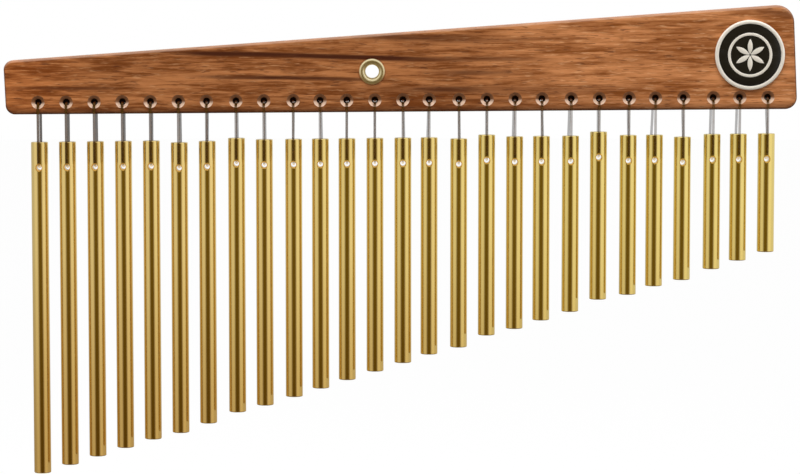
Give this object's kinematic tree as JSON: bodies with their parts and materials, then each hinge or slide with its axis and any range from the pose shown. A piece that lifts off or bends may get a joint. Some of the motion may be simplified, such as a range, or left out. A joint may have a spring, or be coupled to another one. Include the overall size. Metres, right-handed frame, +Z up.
{
  "type": "bar chimes",
  "caption": "Bar chimes: round metal bars of falling length hung on knotted cord loops from a tapered wooden board with a stand eyelet and a round badge.",
  "frame": {"origin": "on the axis of the stand eyelet, in the middle of the board's thickness", "axes": "+X along the board towards its tall end and the short bars, +Z up as hung, -Y out of the board's front"},
  "size_m": [0.4663, 0.0178, 0.2775],
  "materials": {
    "board": "clear satin lacquer on reddish hardwood",
    "bars": "bright gold anodised",
    "cords": "translucent monofilament",
    "eyelet": "pale, lightly polished",
    "badge_plate": "bright polished",
    "badge_enamel": "black gloss enamel"
  },
  "bodies": {
    "hanger": {"wood_board": "board", "stand_eyelet": "eyelet", "badge_plate": "badge_plate", "badge_face": "badge_enamel"},
    "loop_01": {"cord_01": "cords"},
    "chime_01": {"bar_01": "bars"},
    "loop_02": {"cord_02": "cords"},
    "chime_02": {"bar_02": "bars"},
    "loop_03": {"cord_03": "cords"},
    "chime_03": {"bar_03": "bars"},
    "loop_04": {"cord_04": "cords"},
    "chime_04": {"bar_04": "bars"},
    "loop_05": {"cord_05": "cords"},
    "chime_05": {"bar_05": "bars"},
    "loop_06": {"cord_06": "cords"},
    "chime_06": {"bar_06": "bars"},
    "loop_07": {"cord_07": "cords"},
    "chime_07": {"bar_07": "bars"},
    "loop_08": {"cord_08": "cords"},
    "chime_08": {"bar_08": "bars"},
    "loop_09": {"cord_09": "cords"},
    "chime_09": {"bar_09": "bars"},
    "loop_10": {"cord_10": "cords"},
    "chime_10": {"bar_10": "bars"},
    "loop_11": {"cord_11": "cords"},
    "chime_11": {"bar_11": "bars"},
    "loop_12": {"cord_12": "cords"},
    "chime_12": {"bar_12": "bars"},
    "loop_13": {"cord_13": "cords"},
    "chime_13": {"bar_13": "bars"},
    "loop_14": {"cord_14": "cords"},
    "chime_14": {"bar_14": "bars"},
    "loop_15": {"cord_15": "cords"},
    "chime_15": {"bar_15": "bars"},
    "loop_16": {"cord_16": "cords"},
    "chime_16": {"bar_16": "bars"},
    "loop_17": {"cord_17": "cords"},
    "chime_17": {"bar_17": "bars"},
    "loop_18": {"cord_18": "cords"},
    "chime_18": {"bar_18": "bars"},
    "loop_19": {"cord_19": "cords"},
    "chime_19": {"bar_19": "bars"},
    "loop_20": {"cord_20": "cords"},
    "chime_20": {"bar_20": "bars"},
    "loop_21": {"cord_21": "cords"},
    "chime_21": {"bar_21": "bars"},
    "loop_22": {"cord_22": "cords"},
    "chime_22": {"bar_22": "bars"},
    "loop_23": {"cord_23": "cords"},
    "chime_23": {"bar_23": "bars"},
    "loop_24": {"cord_24": "cords"},
    "chime_24": {"bar_24": "bars"},
    "loop_25": {"cord_25": "cords"},
    "chime_25": {"bar_25": "bars"},
    "loop_26": {"cord_26": "cords"},
    "chime_26": {"bar_26": "bars"},
    "loop_27": {"cord_27": "cords"},
    "chime_27": {"bar_27": "bars"}
  },
  "joints": [
    {"name": "loop_01_swing", "type": "hinge", "parent": "hanger", "child": "loop_01", "pos_m": [-0.19638, 0, -0.01897], "axis": [0, -1, 0], "range_deg": [-30, 1.64]},
    {"name": "chime_01_swing", "type": "hinge", "parent": "loop_01", "child": "chime_01", "pos_m": [-0.19638, 0, -0.05617], "axis": [0, -1, 0], "range_deg": [-25, 1.99]},
    {"name": "loop_02_swing", "type": "hinge", "parent": "hanger", "child": "loop_02", "pos_m": [-0.17988, 0, -0.01886], "axis": [0, -1, 0], "range_deg": [-1.64, 1.68]},
    {"name": "chime_02_swing", "type": "hinge", "parent": "loop_02", "child": "chime_02", "pos_m": [-0.17988, 0, -0.05597], "axis": [0, -1, 0], "range_deg": [-1.99, 2.04]},
    {"name": "loop_03_swing", "type": "hinge", "parent": "hanger", "child": "loop_03", "pos_m": [-0.16338, 0, -0.01874], "axis": [0, -1, 0], "range_deg": [-1.68, 1.72]},
    {"name": "chime_03_swing", "type": "hinge", "parent": "loop_03", "child": "chime_03", "pos_m": [-0.16338, 0, -0.05578], "axis": [0, -1, 0], "range_deg": [-2.04, 2.1]},
    {"name": "loop_04_swing", "type": "hinge", "parent": "hanger", "child": "loop_04", "pos_m": [-0.14688, 0, -0.01863], "axis": [0, -1, 0], "range_deg": [-1.72, 1.76]},
    {"name": "chime_04_swing", "type": "hinge", "parent": "loop_04", "child": "chime_04", "pos_m": [-0.14688, 0, -0.05558], "axis": [0, -1, 0], "range_deg": [-2.1, 2.16]},
    {"name": "loop_05_swing", "type": "hinge", "parent": "hanger", "child": "loop_05", "pos_m": [-0.13038, 0, -0.01851], "axis": [0, -1, 0], "range_deg": [-1.76, 1.8]},
    {"name": "chime_05_swing", "type": "hinge", "parent": "loop_05", "child": "chime_05", "pos_m": [-0.13038, 0, -0.05539], "axis": [0, -1, 0], "range_deg": [-2.17, 2.21]},
    {"name": "loop_06_swing", "type": "hinge", "parent": "hanger", "child": "loop_06", "pos_m": [-0.11388, 0, -0.0184], "axis": [0, -1, 0], "range_deg": [-1.8, 1.85]},
    {"name": "chime_06_swing", "type": "hinge", "parent": "loop_06", "child": "chime_06", "pos_m": [-0.11388, 0, -0.05639], "axis": [0, -1, 0], "range_deg": [-2.23, 2.31]},
    {"name": "loop_07_swing", "type": "hinge", "parent": "hanger", "child": "loop_07", "pos_m": [-0.09738, 0, -0.01828], "axis": [0, -1, 0], "range_deg": [-1.85, 2.17]},
    {"name": "chime_07_swing", "type": "hinge", "parent": "loop_07", "child": "chime_07", "pos_m": [-0.09738, 0, -0.0556], "axis": [0, -1, 0], "range_deg": [-2.3, 2.72]},
    {"name": "loop_08_swing", "type": "hinge", "parent": "hanger", "child": "loop_08", "pos_m": [-0.08008, 0, -0.01816], "axis": [0, -1, 0], "range_deg": [-2.17, 1.93]},
    {"name": "chime_08_swing", "type": "hinge", "parent": "loop_08", "child": "chime_08", "pos_m": [-0.08008, 0, -0.05379], "axis": [0, -1, 0], "range_deg": [-2.69, 2.4]},
    {"name": "loop_09_swing", "type": "hinge", "parent": "hanger", "child": "loop_09", "pos_m": [-0.06368, 0, -0.01804], "axis": [0, -1, 0], "range_deg": [-1.93, 2.28]},
    {"name": "chime_09_swing", "type": "hinge", "parent": "loop_09", "child": "chime_09", "pos_m": [-0.06368, 0, -0.0546], "axis": [0, -1, 0], "range_deg": [-2.42, 2.88]},
    {"name": "loop_10_swing", "type": "hinge", "parent": "hanger", "child": "loop_10", "pos_m": [-0.04638, 0, -0.01792], "axis": [0, -1, 0], "range_deg": [-2.28, 1.84]},
    {"name": "chime_10_swing", "type": "hinge", "parent": "loop_10", "child": "chime_10", "pos_m": [-0.04638, 0, -0.0544], "axis": [0, -1, 0], "range_deg": [-2.88, 2.34]},
    {"name": "loop_11_swing", "type": "hinge", "parent": "hanger", "child": "loop_11", "pos_m": [-0.03058, 0, -0.01781], "axis": [0, -1, 0], "range_deg": [-1.84, 1.86]},
    {"name": "chime_11_swing", "type": "hinge", "parent": "loop_11", "child": "chime_11", "pos_m": [-0.03058, 0, -0.05421], "axis": [0, -1, 0], "range_deg": [-2.34, 2.38]},
    {"name": "loop_12_swing", "type": "hinge", "parent": "hanger", "child": "loop_12", "pos_m": [-0.01488, 0, -0.0177], "axis": [0, -1, 0], "range_deg": [-1.86, 2.2]},
    {"name": "chime_12_swing", "type": "hinge", "parent": "loop_12", "child": "chime_12", "pos_m": [-0.01488, 0, -0.05402], "axis": [0, -1, 0], "range_deg": [-2.39, 2.85]},
    {"name": "loop_13_swing", "type": "hinge", "parent": "hanger", "child": "loop_13", "pos_m": [0.00162, 0, -0.01759], "axis": [0, -1, 0], "range_deg": [-2.2, 2.27]},
    {"name": "chime_13_swing", "type": "hinge", "parent": "loop_13", "child": "chime_13", "pos_m": [0.00162, 0, -0.05382], "axis": [0, -1, 0], "range_deg": [-2.85, 2.96]},
    {"name": "loop_14_swing", "type": "hinge", "parent": "hanger", "child": "loop_14", "pos_m": [0.01812, 0, -0.01747], "axis": [0, -1, 0], "range_deg": [-2.28, 1.97]},
    {"name": "chime_14_swing", "type": "hinge", "parent": "loop_14", "child": "chime_14", "pos_m": [0.01812, 0, -0.05362], "axis": [0, -1, 0], "range_deg": [-2.97, 2.59]},
    {"name": "loop_15_swing", "type": "hinge", "parent": "hanger", "child": "loop_15", "pos_m": [0.03362, 0, -0.01737], "axis": [0, -1, 0], "range_deg": [-1.97, 2.8]},
    {"name": "chime_15_swing", "type": "hinge", "parent": "loop_15", "child": "chime_15", "pos_m": [0.03362, 0, -0.05344], "axis": [0, -1, 0], "range_deg": [-2.59, 3.72]},
    {"name": "loop_16_swing", "type": "hinge", "parent": "hanger", "child": "loop_16", "pos_m": [0.05112, 0, -0.01724], "axis": [0, -1, 0], "range_deg": [-2.81, 2.54]},
    {"name": "chime_16_swing", "type": "hinge", "parent": "loop_16", "child": "chime_16", "pos_m": [0.05112, 0, -0.05413], "axis": [0, -1, 0], "range_deg": [-3.76, 3.45]},
    {"name": "loop_17_swing", "type": "hinge", "parent": "hanger", "child": "loop_17", "pos_m": [0.06761, 0, -0.01713], "axis": [0, -1, 0], "range_deg": [-2.54, 2.61]},
    {"name": "chime_17_swing", "type": "hinge", "parent": "loop_17", "child": "chime_17", "pos_m": [0.06761, 0, -0.05184], "axis": [0, -1, 0], "range_deg": [-3.39, 3.5]},
    {"name": "loop_18_swing", "type": "hinge", "parent": "hanger", "child": "loop_18", "pos_m": [0.08411, 0, -0.01701], "axis": [0, -1, 0], "range_deg": [-2.61, 2.4]},
    {"name": "chime_18_swing", "type": "hinge", "parent": "loop_18", "child": "chime_18", "pos_m": [0.08411, 0, -0.05284], "axis": [0, -1, 0], "range_deg": [-3.56, 3.31]},
    {"name": "loop_19_swing", "type": "hinge", "parent": "hanger", "child": "loop_19", "pos_m": [0.09991, 0, -0.0169], "axis": [0, -1, 0], "range_deg": [-2.4, 3.13]},
    {"name": "chime_19_swing", "type": "hinge", "parent": "loop_19", "child": "chime_19", "pos_m": [0.09991, 0, -0.05265], "axis": [0, -1, 0], "range_deg": [-3.32, 4.37]},
    {"name": "loop_20_swing", "type": "hinge", "parent": "hanger", "child": "loop_20", "pos_m": [0.11711, 0, -0.01678], "axis": [0, -1, 0], "range_deg": [-3.14, 2.98]},
    {"name": "chime_20_swing", "type": "hinge", "parent": "loop_20", "child": "chime_20", "pos_m": [0.11711, 0, -0.05245], "axis": [0, -1, 0], "range_deg": [-4.4, 4.27]},
    {"name": "loop_21_swing", "type": "hinge", "parent": "hanger", "child": "loop_21", "pos_m": [0.13361, 0, -0.01667], "axis": [0, -1, 0], "range_deg": [-2.99, 3.55]},
    {"name": "chime_21_swing", "type": "hinge", "parent": "loop_21", "child": "chime_21", "pos_m": [0.13361, 0, -0.05005], "axis": [0, -1, 0], "range_deg": [-4.18, 4.98]},
    {"name": "loop_22_swing", "type": "hinge", "parent": "hanger", "child": "loop_22", "pos_m": [0.15111, 0, -0.01655], "axis": [0, -1, 0], "range_deg": [-3.56, 2.67]},
    {"name": "chime_22_swing", "type": "hinge", "parent": "loop_22", "child": "chime_22", "pos_m": [0.15111, 0, -0.05205], "axis": [0, -1, 0], "range_deg": [-5.16, 3.94]},
    {"name": "loop_23_swing", "type": "hinge", "parent": "hanger", "child": "loop_23", "pos_m": [0.16661, 0, -0.01644], "axis": [0, -1, 0], "range_deg": [-2.68, 3.3]},
    {"name": "chime_23_swing", "type": "hinge", "parent": "loop_23", "child": "chime_23", "pos_m": [0.16661, 0, -0.05186], "axis": [0, -1, 0], "range_deg": [-3.95, 4.92]},
    {"name": "loop_24_swing", "type": "hinge", "parent": "hanger", "child": "loop_24", "pos_m": [0.18311, 0, -0.01632], "axis": [0, -1, 0], "range_deg": [-3.31, 4.07]},
    {"name": "chime_24_swing", "type": "hinge", "parent": "loop_24", "child": "chime_24", "pos_m": [0.18311, 0, -0.05306], "axis": [0, -1, 0], "range_deg": [-5.06, 6.39]},
    {"name": "loop_25_swing", "type": "hinge", "parent": "hanger", "child": "loop_25", "pos_m": [0.20061, 0, -0.0162], "axis": [0, -1, 0], "range_deg": [-4.09, 3.09]},
    {"name": "chime_25_swing", "type": "hinge", "parent": "loop_25", "child": "chime_25", "pos_m": [0.20061, 0, -0.05146], "axis": [0, -1, 0], "range_deg": [-6.33, 4.89]},
    {"name": "loop_26_swing", "type": "hinge", "parent": "hanger", "child": "loop_26", "pos_m": [0.21611, 0, -0.01609], "axis": [0, -1, 0], "range_deg": [-3.1, 3.89]},
    {"name": "chime_26_swing", "type": "hinge", "parent": "loop_26", "child": "chime_26", "pos_m": [0.21611, 0, -0.05127], "axis": [0, -1, 0], "range_deg": [-4.92, 6.33]},
    {"name": "loop_27_swing", "type": "hinge", "parent": "hanger", "child": "loop_27", "pos_m": [0.23261, 0, -0.01598], "axis": [0, -1, 0], "range_deg": [-3.91, 30]},
    {"name": "chime_27_swing", "type": "hinge", "parent": "loop_27", "child": "chime_27", "pos_m": [0.23261, 0, -0.05108], "axis": [0, -1, 0], "range_deg": [-6.41, 25]}
  ]
}
